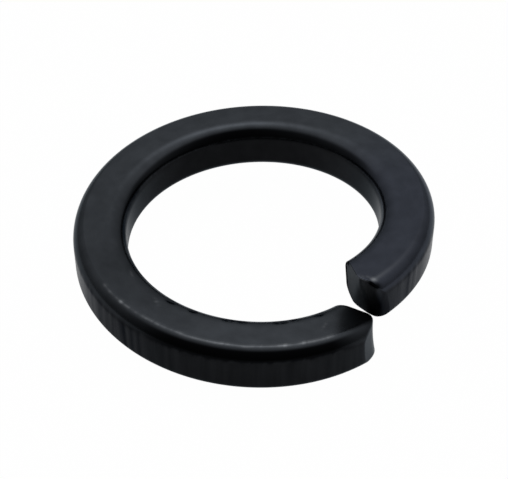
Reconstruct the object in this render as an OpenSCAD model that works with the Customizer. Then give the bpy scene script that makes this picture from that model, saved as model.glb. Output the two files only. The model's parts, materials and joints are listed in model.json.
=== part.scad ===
// Spring lock washer of square section, for a 16 mm screw.
// One steel bar of rounded square section, coiled one turn to the left and sheared off on a slant,
// so that its two ends stand nearly one thickness apart in height.
// Lengths are in millimetres and angles in degrees. The hole's axis is +Z, and the lowest point is at z = 0.

/* [Coil] */
// Diameter of the hole
bore_d = 16.7; // [16.2:0.05:17]
// Diameter over the outside
outer_d = 23.7; // [23.2:0.05:24.4]
// Thickness of the bar along the hole's axis
thickness = 3.55; // [3.35:0.05:3.8]
// Rise of the coil over a full turn
pitch = 3.38; // [2.8:0.01:4.6]

/* [Long edges] */
// Radius of the top outer edge
outer_edge_r = 1.13; // [0.6:0.01:1.3]
// Angle of the crease in which that edge meets the flat top
outer_crease = 20; // [0:1:30]
// Radius of the top inner edge
inner_edge_r = 1.15; // [0.6:0.05:1.3]
// How far the bottom outer edge's ellipse reaches in from the wall
outer_foot_in = 1.7; // [0.6:0.05:1.7]
// How far it reaches up from the bottom
outer_foot_up = 0.9; // [0.6:0.05:1.2]
// How far the bottom inner edge's ellipse reaches in from the wall
inner_foot_in = 1.5; // [0.6:0.05:1.5]
// How far it reaches up from the bottom
inner_foot_up = 0.95; // [0.6:0.05:1.2]

/* [Split] */
// Direction of the split, turned from +X about the hole's axis
split_at = -47.9; // [-90:0.1:0]
// Angle between the marks that the two ends are measured from
split_open = 2.2; // [1:0.1:8]

/* [Lower end] */
// How far the middle of the face passes the end's mark
lower_reach = 0.36; // [0:0.02:0.5]
// Lean of the face, whose foot sticks out
lower_lean = 12.5; // [5:0.1:14]
// How far the face is hollowed between its top and its foot
lower_hollow = 0.12; // [0:0.01:0.3]
// Turn of the face from square across the bar, its outer side sticking out
lower_skew = 22; // [0:0.5:23]
// Width of the outer corner that the shear drew round
lower_roll_in = 1.28; // [0.6:0.02:1.3]
// Length of that corner along the bar
lower_roll_along = 3.25; // [0.6:0.05:3.4]
// Radius of the small edges round the face
lower_burr = 0.2; // [0.1:0.02:0.3]

/* [Upper end] */
// How far the nose passes the end's mark at mid thickness
upper_reach = 0.83; // [0.3:0.01:0.9]
// Distance of the nose from the outside
nose_in = 1.52; // [1:0.01:1.8]
// Turn of the face inside its nose
upper_skew = 25; // [5:0.5:26]
// Lean of the face there, whose top sticks out
upper_lean = 7.5; // [0:0.1:12]
// Turn of the face outside its nose, the other way
upper_back = 22.5; // [0:0.5:26]
// Lean of the face there
upper_back_lean = 11; // [0:0.1:14]
// How far the foot passes the end's mark
upper_foot = 0.12; // [0:0.01:0.2]
// Lean of the lower part of the face, up from the foot to the nose
upper_foot_lean = 16; // [8:0.1:24]
// Width of the outer corner that the shear drew round
upper_roll_in = 0.4; // [0.3:0.02:1.2]
// Length of that corner along the bar
upper_roll_along = 0.34; // [0.2:0.02:1.2]
// Radius of the small edges round the face
upper_burr = 0.1; // [0.1:0.02:0.3]

/* [Hidden] */

bore_r = bore_d / 2;
outer_r = outer_d / 2;
mid_r = (bore_r + outer_r) / 2;
half_t = thickness / 2;
nose_r = outer_r - nose_in;
swept = 360 - split_open;
lower_mark = split_at - split_open / 2;

// How much larger the drawn corners are at the foot than at the top
lower_roll_growth = 1.2;
upper_roll_growth = 1.79;
// The angles at which the drawn corners' arcs end and run on straight to the wall
lower_roll_stop = 46;
upper_roll_stop = 70;

// Steps of the mesh: degrees between rings along the coil, steps round a long edge, and round an end's
// small edge
ring_step = 4.5;
edge_steps = 6;
burr_steps = 3;
// Shares of the way out from the middle of an end face at which its rings lie
face_rings = [0.35, 0.6, 0.8, 0.93];
// Angle over which a ring's place follows the shape of the end next to it
settle = 20;

// The long edges' arcs stop this short of the walls and run on straight, a share of the way to mid thickness.
// The true walls are cylinders, cut afterwards.
arc_stop = 10;
run_on = 0.6;

// A long edge as a list from its wall to its face. Each entry is the distance in from the wall, the height
// from mid thickness, and the outward normal. The edge is an ellipse, or an arc that stops at a crease.
function edge_arc(wide, high, crease = 0) =
    [for (i = [0:edge_steps])
        let (a = arc_stop + (90 - crease - arc_stop) * i / edge_steps)
        [wide * (1 - cos(a)), half_t - high * (cos(crease) - sin(a)), cos(a), sin(a)]];

// The same list with the straight run in front, which stands a little proud of the wall
function long_edge(wide, high, crease = 0) =
    let (arc = edge_arc(wide, high, crease), slope = wide / high * tan(arc_stop))
    concat([[arc[0][0] - run_on * arc[0][1] * slope, (1 - run_on) * arc[0][1], 1, 0]], arc);

// Points of the bar's section in order, each with its radius, its height from mid thickness and its normal.
// One lies on the flat top, where the upper end's nose comes up to it.
function on_outside(p, side) = [outer_r - p[0], side * p[1], p[2], side * p[3]];
function on_inside(p, side) = [bore_r + p[0], side * p[1], -p[2], side * p[3]];
function reversed(list) = [for (i = [len(list) - 1:-1:0]) list[i]];
section = concat(
    [for (p = long_edge(outer_edge_r, outer_edge_r, outer_crease)) on_outside(p, 1)],
    [[nose_r, half_t, 0, 1]],
    [for (p = reversed(long_edge(inner_edge_r, inner_edge_r))) on_inside(p, 1)],
    [for (p = long_edge(inner_foot_in, inner_foot_up)) on_inside(p, -1)],
    [for (p = reversed(long_edge(outer_foot_in, outer_foot_up))) on_outside(p, -1)]);
points_round = len(section);

// The place of a point of the section that lies a length past an angle of travel along the coil
function along(r, z, angle, past) =
    let (a = angle + past / r * 180 / PI)
    [r * cos(lower_mark - a), r * sin(lower_mark - a), z + pitch * a / 360];

// How far a drawn corner falls back from its face: a quarter of an ellipse, larger towards the foot, that
// runs on straight from its last angle
function roll(r, z, wide, long, growth, stop) =
    let (size = 1 + (growth - 1) * (1 - z / half_t) / 2,
        x = max(0, 1 + (r - outer_r) / (wide * size)),
        bent = min(x, sin(stop)))
    size * long * (1 - sqrt(1 - bent * bent) + (x - bent) * tan(stop));

// How far the lower end's face passes its mark
function lower_face(r, z) =
    lower_reach - z * tan(lower_lean) + lower_hollow * pow(z / half_t, 2) + (r - mid_r) * tan(lower_skew)
    - roll(r, z, lower_roll_in, lower_roll_along, lower_roll_growth, lower_roll_stop);

// How far the upper end's face passes its mark: two planes that meet in a nose, and a third under them
function upper_face(r, z) =
    let (x = r - nose_r,
        inside = upper_reach + x * tan(upper_skew) + z * tan(upper_lean),
        outside = upper_reach - x * tan(upper_back) + z * tan(upper_back_lean),
        below = upper_foot + (z + half_t) * tan(upper_foot_lean))
    min(inside, outside, below)
    - roll(r, z, upper_roll_in, upper_roll_along, upper_roll_growth, upper_roll_stop);

function face(upper, r, z) = upper ? upper_face(r, z) : lower_face(r, z);

// The radius of an end's small edge at a point of the section: none where the walls end
function burr(upper, p) = abs(p[3]) * (upper ? upper_burr : lower_burr);

// A ring of an end, at a point's distance past the end's mark
function end_ring(upper, places) =
    [for (q = places) along(q[0], q[1], upper ? swept : 0, upper ? q[2] : -q[2])];

// The section drawn in round the small edge, from the wall at 0 degrees to the face at 90
function edge_ring(upper, turn) = end_ring(upper,
    [for (p = section)
        let (b = burr(upper, p),
            inset = b * (1 - cos(turn)),
            r = p[0] - p[2] * inset,
            z = p[1] - p[3] * inset)
        [r, z, face(upper, r, z) - b * (1 - sin(turn))]]);

// The section shrunk towards the middle of the face
function face_ring(upper, share) = end_ring(upper,
    [for (p = section)
        let (b = burr(upper, p),
            r = mid_r + (p[0] - p[2] * b - mid_r) * share,
            z = (p[1] - p[3] * b) * share)
        [r, z, face(upper, r, z)]]);

function end_rings(upper) = concat(
    [for (i = [0:burr_steps]) edge_ring(upper, 90 * i / burr_steps)],
    [for (i = [len(face_rings) - 1:-1:0]) face_ring(upper, face_rings[i])]);

// Rings along the bar. Near an end they lean as its face does.
ring_count = ceil(swept / ring_step);
function body_ring(angle) =
    let (near_lower = max(0, 1 - angle / settle), near_upper = max(0, 1 - (swept - angle) / settle))
    [for (p = section)
        along(p[0], p[1], angle,
            near_upper * (upper_face(p[0], p[1]) - burr(true, p))
            - near_lower * (lower_face(p[0], p[1]) - burr(false, p)))];

lower_end = end_rings(false);
rings = concat(
    [for (i = [len(lower_end) - 1:-1:0]) lower_end[i]],
    [for (i = [1:ring_count - 1]) body_ring(swept * i / ring_count)],
    end_rings(true));
middles = concat(
    end_ring(false, [[mid_r, 0, lower_face(mid_r, 0)]]), end_ring(true, [[mid_r, 0, upper_face(mid_r, 0)]]));
coil_points = concat([for (ring = rings) each ring], middles);

// Faces: two triangles between each pair of neighbours on two rings, and a fan in the middle of each end
last = len(rings) - 1;
lower_hub = len(rings) * points_round;
upper_hub = lower_hub + 1;
function at(ring, i) = ring * points_round + i % points_round;
coil_faces = concat(
    [for (k = [0:last - 1], i = [0:points_round - 1]) each [
        [at(k, i), at(k + 1, i + 1), at(k, i + 1)],
        [at(k, i), at(k + 1, i), at(k + 1, i + 1)]]],
    [for (i = [0:points_round - 1]) [at(0, i), at(0, i + 1), lower_hub]],
    [for (i = [0:points_round - 1]) [at(last, i + 1), at(last, i), upper_hub]]);

lowest = min([for (p = coil_points) p[2]]);
highest = max([for (p = coil_points) p[2]]);

// The bar with its faces, edges and ends, its two walls left a little proud
module coil() {
    translate([0, 0, -lowest])
        polyhedron(points = coil_points, faces = coil_faces);
}

// A true cylinder round the hole's axis, longer than the washer
module wall(diameter) {
    translate([0, 0, -1])
        cylinder(d = diameter, h = highest - lowest + 2, $fn = 240);
}

module spring_washer() {
    color([0.20, 0.21, 0.23])
        difference() {
            intersection() {
                coil();
                wall(outer_d);
            }
            wall(bore_d);
        }
}

spring_washer();
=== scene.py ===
"""Looks of a spring lock washer of square section: a coiled steel bar, blackened, with sheared ends.

Metres throughout, except where a comment says millimetres or degrees. +Z is the hole's axis, the washer's
lowest point is at z = 0, and the camera is at -Y. The bar is built here in the CAD part's shape as a finer
mesh, which adds the nicks, the dent and what the material needs to show the wear and the painted light and
shade.
"""

import json
import math

import bpy
import numpy as np
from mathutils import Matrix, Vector


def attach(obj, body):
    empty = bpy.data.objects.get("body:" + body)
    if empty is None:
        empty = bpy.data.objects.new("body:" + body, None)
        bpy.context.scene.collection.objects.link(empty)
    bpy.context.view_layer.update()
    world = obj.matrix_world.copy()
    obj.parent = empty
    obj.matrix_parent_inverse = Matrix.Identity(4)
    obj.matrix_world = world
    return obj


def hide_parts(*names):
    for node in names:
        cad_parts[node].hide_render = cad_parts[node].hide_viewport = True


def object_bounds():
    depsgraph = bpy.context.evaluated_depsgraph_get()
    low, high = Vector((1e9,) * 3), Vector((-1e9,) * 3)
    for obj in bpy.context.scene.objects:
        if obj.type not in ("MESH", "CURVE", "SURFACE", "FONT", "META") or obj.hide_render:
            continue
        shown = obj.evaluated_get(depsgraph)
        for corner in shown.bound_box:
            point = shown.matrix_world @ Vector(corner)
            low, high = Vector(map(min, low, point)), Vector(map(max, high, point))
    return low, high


MM = 0.001
NODE = "spring_washer"
SEED = 7

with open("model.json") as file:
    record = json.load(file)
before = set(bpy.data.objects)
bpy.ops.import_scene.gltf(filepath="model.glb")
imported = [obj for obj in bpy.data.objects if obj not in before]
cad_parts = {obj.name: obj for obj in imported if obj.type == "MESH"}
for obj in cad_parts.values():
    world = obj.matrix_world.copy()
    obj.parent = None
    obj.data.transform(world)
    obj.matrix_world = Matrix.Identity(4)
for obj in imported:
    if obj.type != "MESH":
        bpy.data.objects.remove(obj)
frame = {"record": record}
cad_low, cad_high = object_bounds()

# The ring, from the frame: the hole's wall from its mount, the outside from the part's own width
bore_r = frame["record"]["mounts"][0]["dims"]["r_mm"] * MM
outer_r = (cad_high[0] - cad_low[0]) / 2
mid_r = (bore_r + outer_r) / 2
thickness = 3.55 * MM
half_t = thickness / 2
pitch = 3.38 * MM

# The split, in degrees turned from +X. Travel is the angle along the coil from the lower end's mark, up to
# swept at the upper end's mark.
split_at = -47.9
split_open = 2.2
swept = 360 - split_open
lower_mark = split_at - split_open / 2


def smooth(x):
    """0 below 0, 1 above 1, and an even step between."""
    t = np.clip(x, 0, 1)
    return t * t * (3 - 2 * t)


def above(x, limit, soft):
    """0 up to a limit, and 1 from a soft width above it on."""
    return smooth((x - limit) / soft)


def below(x, limit, soft):
    """0 down to a limit, and 1 from a soft width below it on."""
    return smooth((limit - x) / soft)


def bump_at(x, centre, width):
    """A smooth bump of height 1 at centre."""
    return np.exp(-(((x - centre) / width) ** 2))


def noise_1d(x, cell, seed, cells=4096):
    """Smooth seeded noise between -1 and 1, with one random value per cell of x."""
    random = np.random.default_rng(seed)
    values = random.uniform(-1, 1, cells)
    k = np.floor(x / cell).astype(int)
    t = smooth(x / cell - k)
    return values[k % cells] * (1 - t) + values[(k + 1) % cells] * t


# ---------------------------------------------------------------- the bar's section

# The long edges: how far each reaches in from the wall and down from the face. The top outer edge is an arc
# that stops some degrees short of the flat face, and meets it in a crease.
outer_top_r = 1.13 * MM
outer_crease = 20
crease_r = 0.05 * MM
inner_top_r = 1.15 * MM
outer_foot = (1.69 * MM, 0.91 * MM)
inner_foot = (1.50 * MM, 0.95 * MM)


def rolled_edge(wide, high, steps):
    """An elliptical long edge from wall to face: rows of distance in from the wall, distance off the face,
    and the normal's parts out and up."""
    turn = np.radians(np.linspace(90, 0, steps))
    return np.stack([wide * (1 - np.sin(turn)), high * (1 - np.cos(turn)), np.sin(turn), np.cos(turn)], 1)


def creased_edge(steps, crease_steps=4):
    """The top outer edge in the same form: its own arc up to the crease, and a tight arc on to the face."""
    crease = math.radians(outer_crease)
    main = np.radians(np.linspace(90, outer_crease, steps))
    tight = np.radians(np.linspace(outer_crease, 0, crease_steps + 1)[1:])
    main_in = outer_top_r * (1 - np.sin(main))
    main_down = outer_top_r * (math.cos(crease) - np.cos(main)) + crease_r * (1 - math.cos(crease))
    tight_in = main_in[-1] + crease_r * (math.sin(crease) - np.sin(tight))
    tight_down = crease_r * (1 - np.cos(tight))
    turn = np.concatenate([main, tight])
    inward = np.append(main_in, tight_in)
    down = np.append(main_down, tight_down)
    return np.stack([inward, down, np.sin(turn), np.cos(turn)], 1)


def between(first, last, steps):
    """Points on a straight line, without its ends."""
    share = np.linspace(0, 1, steps + 2)[1:-1, None]
    return first * (1 - share) + last * share


def bar_section(edge_steps=20, top_steps=8, foot_steps=3, wall_steps=6):
    """The bar's closed outline as rows of radius, height from mid thickness, and outward normal."""
    inner_top = rolled_edge(inner_top_r, inner_top_r, edge_steps)[::-1]
    inner_low = rolled_edge(*inner_foot, edge_steps)
    outer_low = rolled_edge(*outer_foot, edge_steps)[::-1]
    outer_top = [outer_r, half_t, 0, 0] + creased_edge(edge_steps) * [-1, -1, 1, 1]
    inner_top = [bore_r, half_t, 0, 0] + inner_top * [1, -1, -1, 1]
    inner_low = [bore_r, -half_t, 0, 0] + inner_low * [1, 1, -1, -1]
    outer_low = [outer_r, -half_t, 0, 0] + outer_low * [-1, 1, 1, -1]
    return np.concatenate([
        outer_top, between(outer_top[-1], inner_top[0], top_steps),
        inner_top, between(inner_top[-1], inner_low[0], wall_steps),
        inner_low, between(inner_low[-1], outer_low[0], foot_steps),
        outer_low, between(outer_low[-1], outer_top[0], wall_steps)])


# ---------------------------------------------------------------- the two end faces

# The ends, in mm and degrees. A face passes its mark by its reach, and slopes by its lean up the bar and by
# its skew across it. The outer corner that the shear drew round is roll_in wide and roll_along long at the
# top and growth times that at the foot, and its arc runs on straight from roll_stop. The burr is the radius
# of the small edge round the face.
lower = dict(reach=0.361, lean=12.5, hollow=0.12, skew=21.9,
             roll_in=1.29, roll_along=3.27, growth=1.2, roll_stop=46, burr=0.2)

# The upper face has a nose, nose_in from the outside. Outside the nose it falls back, by back and back_lean.
# Under the nose it is cut by a third plane, which leans by foot_lean up from its own reach, foot.
upper = dict(reach=0.832, lean=7.5, skew=24.8, nose_in=1.518, back=22.3, back_lean=11.1,
             foot=0.119, foot_lean=16.1,
             roll_in=0.396, roll_along=0.33, growth=1.79, roll_stop=70, burr=0.09)

# Rounding of the nose and of the crease under it, and the least radius of the small edges, in mm
nose_soft = 0.04
foot_soft = 0.05
edge_r = 0.035

# The radius at which the rings of an end face close in on one point
hub_r = mid_r - 0.7 * MM


def slope(degrees):
    """Rise over run."""
    return math.tan(math.radians(degrees))


def lesser(a, b, soft):
    """The smaller of two heights, rounded where they cross."""
    return (a + b) / 2 - np.sqrt(((a - b) / 2) ** 2 + soft ** 2)


def roll(end, r, z):
    """How far the outer corner that the shear drew round falls back from its face, in mm: a quarter of an
    ellipse that runs on straight from an angle, larger towards the foot."""
    size = 1 + (end["growth"] - 1) * (1 - z / half_t) / 2
    x = np.clip(1 + (r - outer_r) / MM / (end["roll_in"] * size), 0, 1)
    stop = math.sin(math.radians(end["roll_stop"]))
    bent = 1 - np.sqrt(1 - np.minimum(x, stop) ** 2)
    return end["roll_along"] * size * (bent + np.maximum(x - stop, 0) * slope(end["roll_stop"]))


def lower_face(r, z):
    """How far the lower end's face passes its mark, in mm."""
    across = (r - mid_r) / MM * slope(lower["skew"])
    down = -z / MM * slope(lower["lean"]) + lower["hollow"] * (z / half_t) ** 2
    return lower["reach"] + across + down - roll(lower, r, z)


def upper_face(r, z):
    """How far the upper end's face passes its mark, in mm: two planes that meet in a nose, and a third that
    cuts under them."""
    x = (r - outer_r) / MM + upper["nose_in"]
    inside = x * slope(upper["skew"]) + z / MM * slope(upper["lean"])
    outside = -x * slope(upper["back"]) + z / MM * slope(upper["back_lean"])
    below_nose = upper["foot"] + (z + half_t) / MM * slope(upper["foot_lean"])
    nose = upper["reach"] + lesser(inside, outside, nose_soft)
    return lesser(nose, below_nose, foot_soft) - roll(upper, r, z)


def end_face(end, r, z):
    """How far an end's face passes its mark, in metres, at a radius and a height from mid thickness."""
    return (upper_face(r, z) if end is upper else lower_face(r, z)) * MM


def burr_radius(end, up):
    """Radius of the small edge round an end's face: least where the walls end."""
    return (edge_r + (end["burr"] - edge_r) * np.abs(up)) * MM


# ---------------------------------------------------------------- the coil, ring by ring


def along(r, z, travel, past):
    """The place of a point of the section, a length past an angle of travel along the coil."""
    a = travel + np.degrees(past / r)
    turn = np.radians(lower_mark - a)
    return np.stack([r * np.cos(turn), r * np.sin(turn), z + pitch * a / 360], -1)


class Ring:
    """One ring of the mesh: its points, and what the wear and the material need to know of each."""

    def __init__(self, r, z, up, travel, past, facing=0, at_upper=False):
        self.points = along(r, z, travel, past)
        self.r = r
        self.z = z
        self.up = up
        self.travel = travel + np.degrees(past / r)
        self.facing = np.full(len(r), float(facing))
        self.at_upper = np.full(len(r), at_upper)


def softened_normals(section, reach=0.25 * MM):
    """The section's normals averaged over a short reach, so that a ring drawn in by them doesn't fold."""
    place, normal = section[:, :2], section[:, 2:]
    gap = np.linalg.norm(place - np.roll(place, 1, 0), axis=1)
    share = (gap + np.roll(gap, -1)) / 2
    apart = np.linalg.norm(place[:, None] - place[None], axis=2)
    mean = (np.exp(-(apart / reach) ** 2) * share) @ normal
    return mean / np.linalg.norm(mean, axis=1)[:, None]


def end_rings(end, section, face_steps=44, burr_steps=7, crowding=1.4):
    """Rings of one end, from where the bar's walls stop to the middle of its face. Those of the face lie
    closest together at its outline."""
    r, z, _, up = section.T
    soft_out, soft_up = softened_normals(section).T
    at_upper = end is upper
    mark, sign = (swept, 1) if at_upper else (0, -1)
    burr = burr_radius(end, up)
    rings = []
    for turn in np.radians(np.linspace(0, 90, burr_steps)):
        inset = burr * (1 - math.cos(turn))
        ring_r, ring_z = r - soft_out * inset, z - soft_up * inset
        past = sign * (end_face(end, ring_r, ring_z) - burr * (1 - math.sin(turn)))
        rings.append(Ring(ring_r, ring_z, up, mark, past, math.sin(turn) ** 2, at_upper))
    for step in np.linspace(0, 1, face_steps + 1)[1:]:
        share = 1 - step ** crowding
        count = 1 if step == 1 else len(r)
        ring_r = (hub_r + (r - soft_out * burr - hub_r) * share)[:count]
        ring_z = ((z - soft_up * burr) * share)[:count]
        past = sign * end_face(end, ring_r, ring_z)
        rings.append(Ring(ring_r, ring_z, up[:count], mark, past, 1, at_upper))
    return rings


def body_rings(section, step=0.6, settle=20):
    """Rings along the bar, a step of travel apart. Near an end they lean as its face does."""
    r, z, _, up = section.T
    lower_past = end_face(lower, r, z) - burr_radius(lower, up)
    upper_past = end_face(upper, r, z) - burr_radius(upper, up)
    rings = []
    for travel in np.linspace(0, swept, math.ceil(swept / step) + 1)[1:-1]:
        near_lower = max(0, 1 - travel / settle)
        near_upper = max(0, 1 - (swept - travel) / settle)
        rings.append(Ring(r, z, up, travel, near_upper * upper_past - near_lower * lower_past))
    return rings


def ring_faces(count, ring_count):
    """Quads between neighbouring rings of count points, and a fan of triangles to the single point at each
    end."""
    first = [1 + count * k for k in range(ring_count)]
    end_point = first[-1] + count
    faces = []
    for i in range(count):
        j = (i + 1) % count
        faces.append((0, first[0] + j, first[0] + i))
        faces.append((end_point, first[-1] + i, first[-1] + j))
    for one, other in zip(first, first[1:]):
        for i in range(count):
            j = (i + 1) % count
            faces.append((one + j, other + j, other + i, one + i))
    return faces


# ---------------------------------------------------------------- wear, and painted light and shade

# Lengths are in millimetres here, and travel is in degrees. Distances across the bar are from the hole's wall
# or in from the outside.

# The nicks in the near inner edge: their travel, their distance from the hole's wall and how far each may lie
# off that, their width, their length and its least and greatest share, and their depth
nick_travels = (14, 25, 29.2, 31.6, 45.3, 49, 51.2, 65, 75)
nick_out = 0.70
nick_off = 0.08
nick_wide = 0.13
nick_long = 0.26
nick_shares = (0.6, 1.1)
nick_depth = 0.09

# The dent in the upper end's outer corner: its distance in from the outside and past the edge, its size
# across and along the bar, and its depth
dent_in = 0.31
dent_past = 0.15
dent_wide = 0.17
dent_long = 0.16
dent_depth = 0.05

# The bare metal beside the dent, and the smears that run from it along the end and along the rim: how bare
# each is, and how soon the smear along the rim fades
struck_bare = 0.66
end_smear = 0.22
rim_smear = 0.29
rim_smear_fade = 2.4

# The worn line along the top outer edge: where it starts and stops, its distance in from the outside, how
# far that drifts outwards and wanders, and its width
worn_from, worn_to = 13, 98
worn_in = 0.71
worn_drift = 0.05
worn_wander = 0.03
worn_wide = 0.06

# How bare that line is: everywhere, how far its longer and its shorter patches change that, what is added
# round one place, and the least of it all
worn_level = 0.25
worn_patches = 0.17
worn_added = 0.26
worn_least = 0.08

# The bare specks in that line: travel and brightness of each, and their size
specks = ((25, 0.85), (31, 1.0), (64, 0.4), (78, 0.25), (87.6, 1.0), (96.5, 0.28))
speck_wide = 0.07
speck_long = 0.16

# The scratches on the bearing face: travel, distance from the hole's wall and turn from the bar's own
# direction of each, and their size and brightness
scratches = ((15.3, 1.78, 35), (78.9, 1.32, -30), (96.5, 0.91, -15))
scratch_wide = 0.06
scratch_long = 0.3
scratch_bright = 0.21

# How bright the oxide is, against its own colour, on the bearing face, on the outside and in the hole, and
# where that changes: middle and width in degrees of travel, and the change. The changes are painted light and
# shade, lighter and darker stretches of the coil as the light falls on them.
top_level = 1.07
top_changes = ((35, 20, 0.16), (272, 28, 0.11), (98, 30, -0.33), (145, 25, -0.10), (0, 9, -0.42))
outside_level = 1.0
outside_changes = ((12, 18, 0.25), (85, 12, 0.2), (107, 12, -0.2), (315, 12, -0.1), (350, 13, 1.2),
                   (2, 5, 1.2))
hole_level = 1.05
hole_changes = ((157, 19, 1.1), (270, 18, 0.8), (302, 14, -0.18))
# Painted light: the lower end's face made lighter
lower_end_light = 0.09
# How far the outside takes the walls' darker colour, which is painted shade
outside_share = 0.92


class Surface:
    """All points of the bar's mesh, and where each one lies on the bar."""

    def __init__(self, rings):
        for name in ("points", "r", "z", "up", "travel", "facing", "at_upper"):
            setattr(self, name, np.concatenate([getattr(ring, name) for ring in rings]))
        self.from_hole = (self.r - bore_r) / MM
        self.from_outside = (outer_r - self.r) / MM
        self.height = self.z / MM
        self.level = self.z / half_t
        self.on_top = self.z > 0
        self.outer = self.r > mid_r
        self.past = self.past_upper_edge()
        # The drawn corner of the upper end looks like its wall, and the rest of its face is cut metal
        roll_in = upper["roll_in"]
        drawn = self.at_upper * below(self.from_outside, limit=1.2 * roll_in, soft=roll_in)
        upright = 1 - above(np.abs(self.up), limit=0.15, soft=0.35)
        self.wall = upright * (1 - self.facing) + drawn * self.facing
        self.cut = self.facing * self.at_upper * (1 - drawn)

    def past_upper_edge(self, far=1000):
        """Distance from the upper end's top edge, back along the bar."""
        edge = end_face(upper, self.r, np.full(len(self.r), half_t))
        past = (np.radians(swept - self.travel) * self.r + edge) / MM
        return np.where(self.travel > swept / 2, past, far)

    def from_travel(self, travel, r):
        """Distance along the bar from an angle of travel, at a radius."""
        return np.radians(self.travel - travel) * r / MM

    def near_top(self):
        """1 at the top, and 0 where the top edges have turned down."""
        return above(self.level, limit=0.65, soft=0.25)


def spot(across, along_bar, wide, long):
    """A soft spot of height 1, from distances across and along the bar."""
    return np.exp(-(across / wide) ** 2 - (along_bar / long) ** 2)


def stretch(bar, start, rise, stop, fall):
    """1 along a stretch of the coil, with soft ends, in degrees of travel."""
    return above(bar.travel, start, rise) * below(bar.travel, stop, fall)


def changed(bar, level, changes):
    """A level with its soft changes along the coil."""
    return level + sum(change * bump_at(bar.travel, middle, width) for middle, width, change in changes)


def nicks(bar):
    """How deep the nicks are, between 0 and 1."""
    random = np.random.default_rng(SEED)
    deep = np.zeros(len(bar.r))
    for travel in nick_travels:
        long = nick_long * random.uniform(*nick_shares)
        across = bar.from_hole - nick_out - random.uniform(-nick_off, nick_off)
        along_bar = bar.from_travel(travel, bore_r + nick_out * MM)
        deep = np.maximum(deep, spot(across, along_bar, nick_wide, long))
    return deep * bar.on_top * (1 - bar.facing)


def dent(bar):
    """The dent in the upper end's outer corner, between 0 and 1."""
    return spot(bar.from_outside - dent_in, bar.past - dent_past, dent_wide, dent_long) * bar.near_top()


def scratched(bar):
    """The light scratches on the bearing face."""
    light = np.zeros(len(bar.r))
    for travel, out, turn in scratches:
        across = bar.from_hole - out
        along_bar = bar.from_travel(travel, bore_r + out * MM)
        cos, sin = math.cos(math.radians(turn)), math.sin(math.radians(turn))
        turned = across * cos - along_bar * sin, across * sin + along_bar * cos
        light = np.maximum(light, spot(*turned, scratch_wide, scratch_long))
    return scratch_bright * light * bar.on_top


def worn_line(bar):
    """The thin, patchy line along the top outer edge from which the black has gone, with its bare specks."""
    middle = worn_in - worn_drift * above(bar.travel, limit=55, soft=40)
    middle = middle - worn_wander * noise_1d(bar.travel, 3.1, SEED + 1)
    patches = noise_1d(bar.travel, 2.3, SEED + 2) + noise_1d(bar.travel, 0.8, SEED + 3)
    bare = worn_level + worn_patches * patches + worn_added * bump_at(bar.travel, 21, 9)
    line = np.clip(bare, worn_least, 1) * bump_at(bar.from_outside, middle, worn_wide)
    line = line * stretch(bar, start=worn_from, rise=4, stop=worn_to, fall=6)
    for travel, bright in specks:
        speck = spot(bar.from_outside - middle, bar.from_travel(travel, bar.r), speck_wide, speck_long)
        line = np.maximum(line, bright * speck)
    return line * bar.on_top


def struck_corner(bar):
    """The bare metal beside the dent, and the smears that run from it along the end and along the rim."""
    bright = struck_bare * spot(bar.from_outside - worn_in, bar.past - 0.30, wide=0.11, long=0.13)
    from_edge = 0.13 + 0.28 * below(bar.from_outside, limit=1.4, soft=0.4)
    end = end_smear * bump_at(bar.past, from_edge, 0.10)
    end = end * below(bar.from_outside, limit=1.6, soft=0.3) * above(bar.from_outside, limit=0.45, soft=0.15)
    rim = rim_smear * bump_at(bar.from_outside, worn_in, 0.12)
    rim = rim * above(bar.past, limit=0, soft=0.3) * np.exp(-bar.past / rim_smear_fade)
    return np.clip(bright + end + rim, 0, 1) * bar.near_top() * (1 - bar.facing)


def painted_dark_bands(bar):
    """Painted dark reflections: the bands where the top edges turn down to the walls, round the hole in
    front, at the left and at the back, and on the outside in front. Their foot is a little ragged."""
    front_inner = 0.45 * below(bar.from_hole, limit=0.5, soft=0.2)
    front_inner = front_inner * stretch(bar, start=3, rise=10, stop=112, fall=12)
    left_inner = 0.4 * bump_at(bar.from_hole, 0.16, 0.13) * bump_at(bar.travel, 124, 20)
    furthest = bump_at(bar.travel, 214, 30)
    back_inner = (0.72 + 0.28 * furthest) * below(bar.from_hole, limit=0.43 + 0.10 * furthest, soft=0.18)
    back_inner = back_inner * stretch(bar, start=132, rise=25, stop=300, fall=25)
    front_outer = below(bar.from_outside, limit=0.58, soft=0.18)
    front_outer = front_outer * stretch(bar, start=3, rise=14, stop=95, fall=30)
    foot = 0.485 + 0.025 * noise_1d(bar.travel, 1.7, SEED + 4) + 0.015 * noise_1d(bar.travel, 0.7, SEED + 5)
    bands = front_inner + left_inner + back_inner + front_outer
    return bands * above(bar.level, foot, soft=0.12) * (1 - bar.facing)


def painted_shade_marks(bar):
    """Painted shade on the upper end: its inner corner and that corner's tip, the place under the dent and
    the hollow beside the drawn corner made darker, and a painted shadow line along the top edge by the dent."""
    top = half_t / MM
    on_face = smooth(bar.facing * 3)
    corner = below(bar.from_hole, limit=0.30, soft=0.08) * on_face
    tip = spot(bar.from_hole - 0.45, bar.height - 0.85 * top, wide=0.25, long=0.2) * on_face
    under = spot(bar.from_outside - 0.42, bar.height - 0.88 * top, wide=0.20, long=0.14) * bar.facing
    hollow = spot(bar.from_outside - 0.38, bar.height + 0.35, wide=0.30, long=1.3)
    hollow = 0.9 * hollow * smooth(bar.facing * 4)
    line = 1.25 * spot(bar.from_outside - 0.60, bar.past - 0.03, wide=0.22, long=0.08) * bar.near_top()
    return (corner + tip + under + hollow) * bar.at_upper + line


def top_light_and_shade(bar):
    """Painted light and shade on the bearing face: how much brighter or darker its black is made from place
    to place.
    """
    outer_front = 0.1 * bump_at(bar.travel, 74, 16) * above(bar.r, limit=mid_r, soft=0.8 * MM)
    return changed(bar, top_level, top_changes) + outer_front


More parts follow.
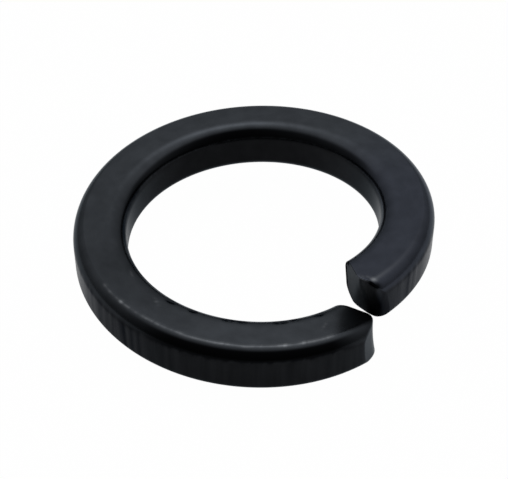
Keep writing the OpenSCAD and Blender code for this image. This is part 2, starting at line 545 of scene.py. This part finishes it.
def wall_light_and_shade(bar):
    """The same painted light and shade on the walls."""
    outside = changed(bar, outside_level, outside_changes)
    return np.where(bar.outer, outside, changed(bar, hole_level, hole_changes))


def cut_face_light(bar):
    """Painted light on the upper end's face: brighter upwards and along the outer side of its nose."""
    from_nose = upper["nose_in"] - bar.from_outside
    beside = 1.8 * bump_at(from_nose, 0.25, 0.3)
    beside = beside + 1.5 * spot(from_nose - 0.1, bar.height - 0.35, wide=0.16, long=0.35)
    return np.maximum(0.95 + 1.1 * bar.level, 0.3) * (1 + beside)


def material_values(bar):
    """The numbers that the material reads, by name."""
    # The tone carries painted light and shade along the coil, and the lower end's face painted lighter
    tone = top_light_and_shade(bar) * (1 - bar.wall) + wall_light_and_shade(bar) * bar.wall
    tone = tone + lower_end_light * bar.facing * (1 - bar.at_upper)
    beside_lower_end = bump_at(bar.travel, 0, 9) * bar.on_top * (1 - bar.wall) * (1 - bar.facing)
    most_streaked = np.clip(bump_at(bar.travel, 92, 20) + bump_at(bar.travel, 343, 20), 0, 1)
    # Painted shade: dark bands standing for dark reflections, the upper end's darkened corners and hollow,
    # and darkening in the nicks and the dent
    painted_shade = painted_dark_bands(bar) + painted_shade_marks(bar) + 0.95 * nicks(bar) + 1.4 * dent(bar)
    return {
        "wall": bar.wall * np.where(bar.outer, outside_share, 1),
        "cut": bar.cut,
        "matt": bar.cut + 1.3 * beside_lower_end,
        "worn": np.maximum(np.maximum(worn_line(bar), struck_corner(bar)), scratched(bar)),
        "painted_shade": np.clip(painted_shade, 0, 1),
        "tone": tone * (1 - bar.cut) + cut_face_light(bar) * bar.cut,
        "blued": above(bar.travel, limit=250, soft=60),
        "streaky": bar.wall * bar.outer * (0.4 + 0.6 * most_streaked)}


def add_values(mesh, name, values, kind="FLOAT", field="value"):
    """A number or a vector for each point of the mesh, which the material reads."""
    mesh.attributes.new(name, kind, "POINT").data.foreach_set(field, values.ravel().astype(np.float32))


def washer_mesh():
    """The whole bar as one closed mesh, with the values that its material reads."""
    section = bar_section()
    rings = end_rings(lower, section)[::-1] + body_rings(section) + end_rings(upper, section)
    bar = Surface(rings)
    points = bar.points
    points[:, 2] -= (nicks(bar) * nick_depth + dent(bar) * dent_depth) * MM
    points[:, 2] -= points[:, 2].min()
    mesh = bpy.data.meshes.new("washer")
    mesh.from_pydata(points.tolist(), [], ring_faces(len(section), len(rings) - 2))
    for name, values in material_values(bar).items():
        add_values(mesh, name, values)
    place = np.stack([np.radians(bar.travel) * mid_r, bar.r, bar.z], 1) / MM
    add_values(mesh, "bar", place, "FLOAT_VECTOR", "vector")
    mesh.polygons.foreach_set("use_smooth", [True] * len(mesh.polygons))
    mesh.update()
    return mesh


# ---------------------------------------------------------------- shader nodes


class Graph:
    """The nodes of a material or of the world, with short ways to add the usual ones."""

    def __init__(self, owner):
        owner.use_nodes = True
        self.nodes = owner.node_tree.nodes
        self.links = owner.node_tree.links

    def feed(self, socket, value):
        """Joins an input to another node's output, or sets it to a number, a vector or a colour."""
        if isinstance(value, bpy.types.NodeSocket):
            self.links.new(value, socket)
        elif socket.type == "RGBA":
            socket.default_value = (*value, 1)
        else:
            socket.default_value = value

    def attribute(self, name, output="Fac"):
        """One of the mesh's own values."""
        node = self.nodes.new("ShaderNodeAttribute")
        node.attribute_name = name
        return node.outputs[output]

    def math(self, operation, *values):
        """A sum, a product or the like."""
        node = self.nodes.new("ShaderNodeMath")
        node.operation = operation
        for socket, value in zip(node.inputs, values):
            self.feed(socket, value)
        return node.outputs[0]

    def vector_math(self, operation, vector, other):
        """A vector scaled by a number, or multiplied by another vector, or its dot product with that."""
        node = self.nodes.new("ShaderNodeVectorMath")
        node.operation = operation
        self.feed(node.inputs[0], vector)
        self.feed(node.inputs["Scale" if operation == "SCALE" else 1], other)
        return node.outputs["Value" if operation == "DOT_PRODUCT" else "Vector"]

    def blend(self, share, first, second, kind="Color"):
        """A share of the second colour in the first, or of numbers with kind Float."""
        node = self.nodes.new("ShaderNodeMix")
        node.data_type = "RGBA" if kind == "Color" else "FLOAT"
        inputs = {socket.identifier: socket for socket in node.inputs}
        self.feed(inputs["Factor_Float"], share)
        self.feed(inputs["A_" + kind], first)
        self.feed(inputs["B_" + kind], second)
        return next(socket for socket in node.outputs if socket.identifier == "Result_" + kind)

    def ranged(self, value, low, high, to_low, to_high):
        """A value moved from one range to another, and held at its ends."""
        node = self.nodes.new("ShaderNodeMapRange")
        for name, number in (("From Min", low), ("From Max", high), ("To Min", to_low), ("To Max", to_high)):
            node.inputs[name].default_value = number
        self.feed(node.inputs["Value"], value)
        return node.outputs["Result"]

    def noise(self, place, scale, detail=3):
        """Noise between 0 and 1, with its own scale along, across and up the bar."""
        texture = self.nodes.new("ShaderNodeTexNoise")
        texture.inputs["Scale"].default_value = 1
        texture.inputs["Detail"].default_value = detail
        self.feed(texture.inputs["Vector"], self.vector_math("MULTIPLY", place, scale))
        return texture.outputs["Fac"]

    def shown_share(self, to_camera, to_mirrors):
        """The share of plain white in what the camera sees, and in what reflections and clear things show."""
        path = self.nodes.new("ShaderNodeLightPath")
        mirrored = self.math("MAXIMUM", path.outputs["Is Glossy Ray"], path.outputs["Is Transmission Ray"])
        mirrored = self.math("MULTIPLY", mirrored, to_mirrors)
        return self.math("MULTIPLY_ADD", path.outputs["Is Camera Ray"], to_camera, mirrored)


# ---------------------------------------------------------------- materials

# The oxide on the bearing faces, which turns bluer towards the upper end, on the walls, made darker there as
# painted shade, and on the upper end's face; the black of the painted shade and painted dark reflections; and
# the bare steel
top_black = (0.0365, 0.0405, 0.0462)
top_blued = (0.0360, 0.0402, 0.0520)
shaded_wall_black = (0.0084, 0.0088, 0.0097)
cut_black = (0.025, 0.0265, 0.0285)
shade_black = (0.0040, 0.0043, 0.0050)
bare_steel = (0.20, 0.21, 0.225)

# The tint of the gloss at a grazing angle, in the same places (dimmed where shade is painted), and in the
# dark and the light streaks
plain_sheen = (0.66, 0.69, 0.72)
cut_sheen = (0.50, 0.52, 0.54)
shade_sheen = (0.085, 0.09, 0.10)
dark_streak_sheen = (0.49, 0.50, 0.52)
light_streak_sheen = (0.74, 0.75, 0.77)

# Scales of the streaks and of the patches in the oxide, along, across and up the bar, per millimetre
streak_scale = (2.0, 0, 0.12)
patch_scale = (0.9, 1.1, 0.9)

# How rough the oxide is, and how much is added where it is matt
roughness = 0.22
matt_roughness = 0.16

# The least and the most that the oxide's brightness is multiplied by in its patches, and the least in its
# streaks, where the most is 1 higher
patch_least, patch_most = 0.84, 1.16
streak_least = 0.5

# The floor: its own grey, and the share of plain white that the camera and reflections see in it
floor_grey = (0.85, 0.85, 0.85)
floor_to_camera = 0.99
floor_to_mirrors = 0.3
white = (1, 1, 1)


def black_steel():
    """Hardened steel under a thin black oxide, semi-gloss. The walls are painted darker than the bearing
    faces as shade, and streaked along the hole's axis, and the oxide has gone along the top outer edge.
    Painted shade and painted dark reflections blacken edge bands, corners, nicks and the dent."""
    material = bpy.data.materials.new("black_steel")
    graph = Graph(material)
    shader = graph.nodes["Principled BSDF"]
    wall, cut, streaky, painted_shade = (graph.attribute(name) for name in ("wall", "cut", "streaky", "painted_shade"))
    place = graph.attribute("bar", "Vector")
    streaks = graph.ranged(graph.noise(place, streak_scale), 0.3, 0.7, 0, 1)
    patches = graph.ranged(graph.noise(place, patch_scale), 0.25, 0.75, patch_least, patch_most)

    oxide = graph.blend(graph.attribute("blued"), top_black, top_blued)
    # Painted shade: the walls are made darker than the bearing faces, in place of darker reflections
    oxide = graph.blend(wall, oxide, shaded_wall_black)
    oxide = graph.blend(cut, oxide, cut_black)
    uneven = graph.blend(streaky, patches, graph.math("ADD", streaks, streak_least), "Float")
    # The tone multiplies in the painted light and shade
    oxide = graph.vector_math("SCALE", oxide, graph.math("MULTIPLY", uneven, graph.attribute("tone")))
    colour = graph.blend(graph.attribute("worn"), oxide, bare_steel)
    # Painted shade and painted dark reflections blacken the colour where this mask says
    colour = graph.blend(painted_shade, colour, shade_black)

    sheen = graph.blend(cut, plain_sheen, cut_sheen)
    sheen = graph.blend(streaky, sheen, graph.blend(streaks, dark_streak_sheen, light_streak_sheen))
    # Where shade is painted, the gloss at grazing angles is dimmed too
    sheen = graph.blend(painted_shade, sheen, shade_sheen)

    shader.inputs["Metallic"].default_value = 1.0
    graph.feed(shader.inputs["Base Color"], colour)
    graph.feed(shader.inputs["Specular Tint"], sheen)
    rough = graph.math("MULTIPLY_ADD", graph.attribute("matt"), matt_roughness, roughness)
    graph.feed(shader.inputs["Roughness"], rough)
    return material


def pale_floor():
    """A white floor. The camera sees its own white almost alone, and reflections see part of that and part of
    its lit colour, with the washer's shadow."""
    material = bpy.data.materials.new("pale_floor")
    graph = Graph(material)
    graph.nodes.remove(graph.nodes["Principled BSDF"])
    lit = graph.nodes.new("ShaderNodeBsdfDiffuse")
    graph.feed(lit.inputs["Color"], floor_grey)
    glow = graph.nodes.new("ShaderNodeEmission")
    graph.feed(glow.inputs["Color"], white)
    mix = graph.nodes.new("ShaderNodeMixShader")
    graph.feed(mix.inputs[0], graph.shown_share(floor_to_camera, floor_to_mirrors))
    graph.feed(mix.inputs[1], lit.outputs[0])
    graph.feed(mix.inputs[2], glow.outputs[0])
    graph.feed(graph.nodes["Material Output"].inputs["Surface"], mix.outputs[0])
    return material


# ---------------------------------------------------------------- stage

floor_radius = 3.0

# The glow overhead leans to the back, and fades out this far from its middle. The power softens its rim.
glow_lean = math.radians(16)
glow_reach = math.radians(30)
glow_strength = 0.75
glow_power = 2.2
overhead = (0, math.sin(glow_lean), math.cos(glow_lean))

# The lamp in the middle of the glow: its distance, its half-width as an angle, and its radiance
lamp_distance = 0.6
lamp_spread = math.radians(9)
lamp_radiance = 0.5

# The studio's own brightness level with the floor and straight up, the share of it left in the darkest part
# of the camera's side, and how far to the left of the camera that part lies. By the cosine of the angle
# from there, the studio is darkest down to dark_cosine and brightest from bright_cosine on, and the power
# keeps the dark wide.
low_level = 0.25
high_level = 1.10
dark_share = 0.28
dark_turn = math.radians(8)
dark_cosine = 0.8
bright_cosine = -0.1
dark_power = 2.0
# The share of plain white in what reflections see of the studio
studio_to_mirrors = 0.06

# The camera: the point it looks at, its height over the floor as an angle, its roll, its distance, its lens,
# and how far its picture is shifted right and up
looks_at = Vector((0, 0, 3.49 * MM))
camera_up = math.radians(40.96)
camera_roll = math.radians(-0.02)
camera_distance = 86.90 * MM
lens_mm = 92.61
sensor_mm = 36
shift_right = 0.0026
shift_up = -0.0176


def make_floor():
    """A round floor, level with the washer's lowest point."""
    bpy.ops.mesh.primitive_circle_add(vertices=96, radius=floor_radius, fill_type="NGON", location=(0, 0, 0))
    floor = bpy.context.object
    floor.name = "floor"
    floor.data.materials.append(pale_floor())


def make_softbox():
    """A small round lamp, in the middle of the glow overhead. Its power is its radiance times pi times its
    area."""
    radius = lamp_distance * math.tan(lamp_spread)
    lamp = bpy.data.lights.new("softbox", "AREA")
    lamp.shape = "DISK"
    lamp.size = 2 * radius
    lamp.energy = lamp_radiance * math.pi * (math.pi * radius ** 2)
    box = bpy.data.objects.new("softbox", lamp)
    box.location = Vector(overhead) * lamp_distance
    box.rotation_euler = (-glow_lean, 0, 0)
    bpy.context.scene.collection.objects.link(box)


def make_world():
    """A pale studio that brightens upwards to a soft glow overhead, and falls off to a dark room on the
    camera's side. The camera itself sees it white."""
    world = bpy.data.worlds.new("studio")
    bpy.context.scene.world = world
    graph = Graph(world)
    place = graph.nodes.new("ShaderNodeTexCoord").outputs["Generated"]
    split = graph.nodes.new("ShaderNodeSeparateXYZ")
    graph.feed(split.inputs[0], place)
    walls = graph.ranged(split.outputs["Z"], 0, 1, low_level, high_level)

    dark_side = (-math.sin(dark_turn), -math.cos(dark_turn), 0)
    pale = graph.ranged(graph.vector_math("DOT_PRODUCT", place, dark_side), dark_cosine, bright_cosine, 0, 1)
    fall = graph.math("MULTIPLY_ADD", graph.math("POWER", pale, dark_power), 1 - dark_share, dark_share)

    near = graph.ranged(graph.vector_math("DOT_PRODUCT", place, overhead), math.cos(glow_reach), 1, 0, 1)
    glow = graph.math("MULTIPLY", graph.math("POWER", near, glow_power), glow_strength)
    level = graph.math("MULTIPLY_ADD", walls, fall, glow)

    background = graph.nodes["Background"]
    graph.feed(background.inputs["Color"], white)
    shown = graph.shown_share(1, studio_to_mirrors)
    graph.feed(background.inputs["Strength"], graph.blend(shown, level, 1, "Float"))


def make_camera():
    """A long lens, 41 degrees above the floor in front."""
    lens = bpy.data.cameras.new("camera")
    lens.lens = lens_mm
    lens.sensor_width = sensor_mm
    lens.clip_start = 1 * MM
    lens.clip_end = 10
    lens.shift_x = shift_right
    lens.shift_y = shift_up
    camera = bpy.data.objects.new("camera", lens)
    camera.location = looks_at + camera_distance * Vector((0, -math.cos(camera_up), math.sin(camera_up)))
    camera.rotation_mode = "ZYX"
    camera.rotation_euler = (math.pi / 2 - camera_up, 0, camera_roll)
    bpy.context.scene.collection.objects.link(camera)
    bpy.context.scene.camera = camera


def make_washer():
    """The washer itself, which stands for the CAD part."""
    washer = bpy.data.objects.new("washer", washer_mesh())
    bpy.context.scene.collection.objects.link(washer)
    washer.data.materials.append(black_steel())
    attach(washer, "root")
    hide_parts(NODE)


bpy.context.scene.view_settings.view_transform = "Standard"
make_camera()
make_world()
make_softbox()
make_floor()
make_washer()
